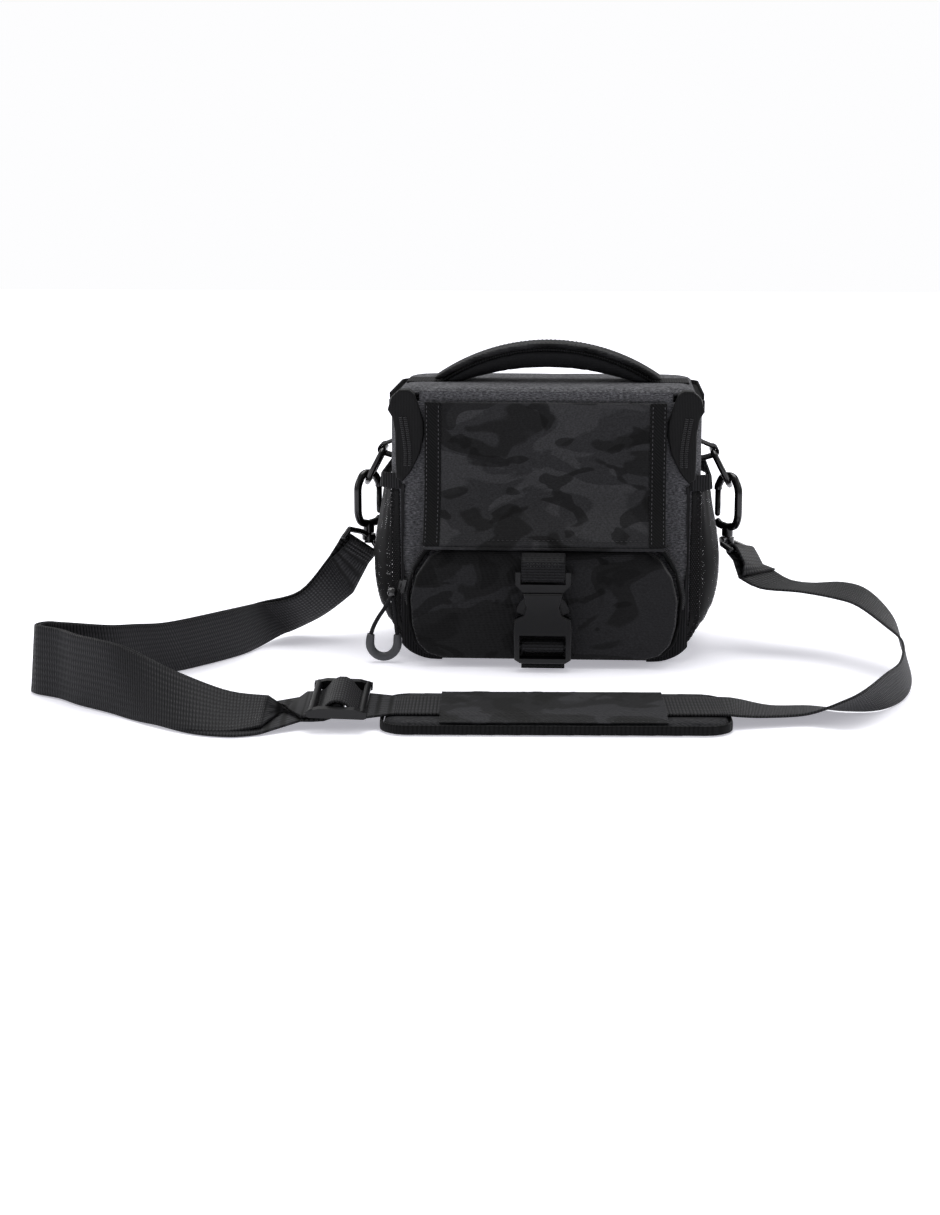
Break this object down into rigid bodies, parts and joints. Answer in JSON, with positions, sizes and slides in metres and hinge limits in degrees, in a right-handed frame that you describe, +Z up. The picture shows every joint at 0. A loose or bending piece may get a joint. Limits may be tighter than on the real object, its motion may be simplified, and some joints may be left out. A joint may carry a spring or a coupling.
{
  "type": "camera bag",
  "caption": "Small padded camera bag with buckled front flap, zipped front pocket, mesh side pockets, carry handle and a padded shoulder strap laid in front.",
  "frame": {"origin": "centre of the flat bottom panel, on the surface the bag stands on", "axes": "+X to the bag's left as its front faces the viewer's side, -Y out of the front flap and pocket, +Z up"},
  "size_m": [0.4884, 0.3039, 0.183],
  "materials": {
    "heather_fabric": "heathered polyester over foam",
    "lining_fabric": "brushed loop lining",
    "base_skin": "coated black fabric",
    "board": "stiffener board",
    "camo_fabric": "jacquard camouflage weave in close dark greys",
    "zip_tape": "woven zip tape",
    "zip_teeth": "moulded coil teeth",
    "zip_slider": "black enamelled die casting",
    "grosgrain": "ribbed binding tape",
    "twill_tape": "diagonal twill tape",
    "mesh": "stretch mesh",
    "webbing": "ribbed polypropylene webbing",
    "buckle_plastic": "satin moulded plastic",
    "pull_rubber": "matte moulded tip",
    "cord": "braided cord",
    "pad_fabric": "foam pad cloth"
  },
  "bodies": {
    "bag": {"adjuster": "buckle_plastic", "base_board": "board", "bottom_panel": "base_skin", "buckle_socket": "buckle_plastic", "d_ring_left": "buckle_plastic", "d_ring_right": "buckle_plastic", "front_pocket": "camo_fabric", "gusset_zip_teeth_left": "zip_teeth", "gusset_zip_teeth_right": "zip_teeth", "lining": "lining_fabric", "outer_shell": "heather_fabric", "pocket_gusset": "zip_tape", "pocket_zip_teeth": "zip_teeth", "rim_zip_tape": "zip_tape", "rim_zip_teeth": "zip_teeth", "ring_tab_left": "webbing", "ring_tab_right": "webbing", "side_binding_left": "grosgrain", "side_binding_right": "grosgrain", "side_pocket_hem_left": "grosgrain", "side_pocket_hem_right": "grosgrain", "side_pocket_left": "mesh", "side_pocket_right": "mesh", "socket_webbing": "webbing", "strap_webbing": "webbing", "swivel_base_left": "buckle_plastic", "swivel_base_right": "buckle_plastic", "zip_gusset_left": "zip_tape", "zip_gusset_right": "zip_tape"},
    "lid": {"lid_panel": "heather_fabric", "lid_lining": "lining_fabric", "lid_zip_tape": "zip_tape", "handle_cover": "camo_fabric", "handle_webbing": "webbing", "handle_grip": "pad_fabric"},
    "flap": {"flap_panel": "heather_fabric", "flap_camo": "camo_fabric", "flap_tape_left": "twill_tape", "flap_tape_right": "twill_tape", "flap_hem": "base_skin"},
    "divider": {"divider": "lining_fabric"},
    "main_slider_left": {"main_slider_left": "zip_slider"},
    "main_slider_right": {"main_slider_right": "zip_slider"},
    "main_pull_left": {"main_pull_left": "zip_slider"},
    "main_pull_right": {"main_pull_right": "zip_slider"},
    "pocket_slider": {"pocket_slider": "zip_slider"},
    "pull": {"pull_knot": "cord", "pull_cord": "cord", "pull_tip": "pull_rubber"},
    "hook_left": {"hook_left": "buckle_plastic"},
    "hook_right": {"hook_right": "buckle_plastic"},
    "gate_left": {"gate_left": "buckle_plastic"},
    "gate_right": {"gate_right": "buckle_plastic"},
    "plug": {"buckle_plug": "buckle_plastic", "plug_webbing": "webbing"},
    "prong_left": {"prong_left": "buckle_plastic"},
    "prong_right": {"prong_right": "buckle_plastic"},
    "shoulder_pad": {"shoulder_pad": "pad_fabric", "pad_binding": "twill_tape", "pad_sleeve": "camo_fabric"}
  },
  "joints": [
    {"name": "lid_hinge", "type": "hinge", "parent": "bag", "child": "lid", "pos_m": [0, -0.053, 0.1585], "axis": [1, 0, 0], "range_deg": [0, 105]},
    {"name": "flap_hinge", "type": "hinge", "parent": "bag", "child": "flap", "pos_m": [0, -0.0544, 0.1519], "axis": [-1, 0, 0], "range_deg": [0, 100]},
    {"name": "divider_slide", "type": "slide", "parent": "bag", "child": "divider", "axis": [1, 0, 0], "range_m": [-0.025, 0.035]},
    {"name": "main_slider_left_slide", "type": "slide", "parent": "bag", "child": "main_slider_left", "axis": [-1, 0, 0], "range_m": [0, 0.06]},
    {"name": "main_slider_right_slide", "type": "slide", "parent": "bag", "child": "main_slider_right", "axis": [1, 0, 0], "range_m": [0, 0.06]},
    {"name": "main_pull_left_swing", "type": "hinge", "parent": "main_slider_left", "child": "main_pull_left", "pos_m": [-0.007, 0.05902, 0.1527], "axis": [1, 0, 0], "range_deg": [0, 80]},
    {"name": "main_pull_right_swing", "type": "hinge", "parent": "main_slider_right", "child": "main_pull_right", "pos_m": [0.007, 0.05902, 0.1527], "axis": [1, 0, 0], "range_deg": [0, 80]},
    {"name": "pocket_slider_slide", "type": "slide", "parent": "bag", "child": "pocket_slider", "axis": [0.2272, 0, 0.9738], "range_m": [0, 0.006]},
    {"name": "pull_swing", "type": "hinge", "parent": "pocket_slider", "child": "pull", "pos_m": [-0.086, -0.0626, 0.044], "axis": [0, 1, 0], "range_deg": [0, 55]},
    {"name": "hook_left_swivel", "type": "hinge", "parent": "bag", "child": "hook_left", "pos_m": [-0.1095, 0.007, 0.0626], "axis": [0, 0, 1], "range_deg": [-8, 0]},
    {"name": "gate_left_spring", "type": "hinge", "parent": "hook_left", "child": "gate_left", "pos_m": [-0.10381, 0.01498, 0.0777], "axis": [0.8141, -0.5807, 0], "range_deg": [0, 18], "stiffness_Nm_per_rad": 0.02},
    {"name": "hook_right_swivel", "type": "hinge", "parent": "bag", "child": "hook_right", "pos_m": [0.1095, 0.007, 0.0626], "axis": [0, 0, 1], "range_deg": [0, 8]},
    {"name": "gate_right_spring", "type": "hinge", "parent": "hook_right", "child": "gate_right", "pos_m": [0.10381, 0.01498, 0.0777], "axis": [0.8141, 0.5807, 0], "range_deg": [0, 18], "stiffness_Nm_per_rad": 0.02},
    {"name": "plug_slide", "type": "slide", "parent": "bag", "child": "plug", "axis": [0, 0, 1], "range_m": [0, 0.022]},
    {"name": "prong_left_squeeze", "type": "hinge", "parent": "plug", "child": "prong_left", "pos_m": [-0.008, -0.083, 0.0436], "axis": [0, -1, 0], "range_deg": [0, 8], "stiffness_Nm_per_rad": 0.3},
    {"name": "prong_right_squeeze", "type": "hinge", "parent": "plug", "child": "prong_right", "pos_m": [0.008, -0.083, 0.0436], "axis": [0, 1, 0], "range_deg": [0, 8], "stiffness_Nm_per_rad": 0.3},
    {"name": "pad_slide", "type": "slide", "parent": "bag", "child": "shoulder_pad", "axis": [0.999, 0.0454, 0], "range_m": [-0.006, 0.002]}
  ]
}
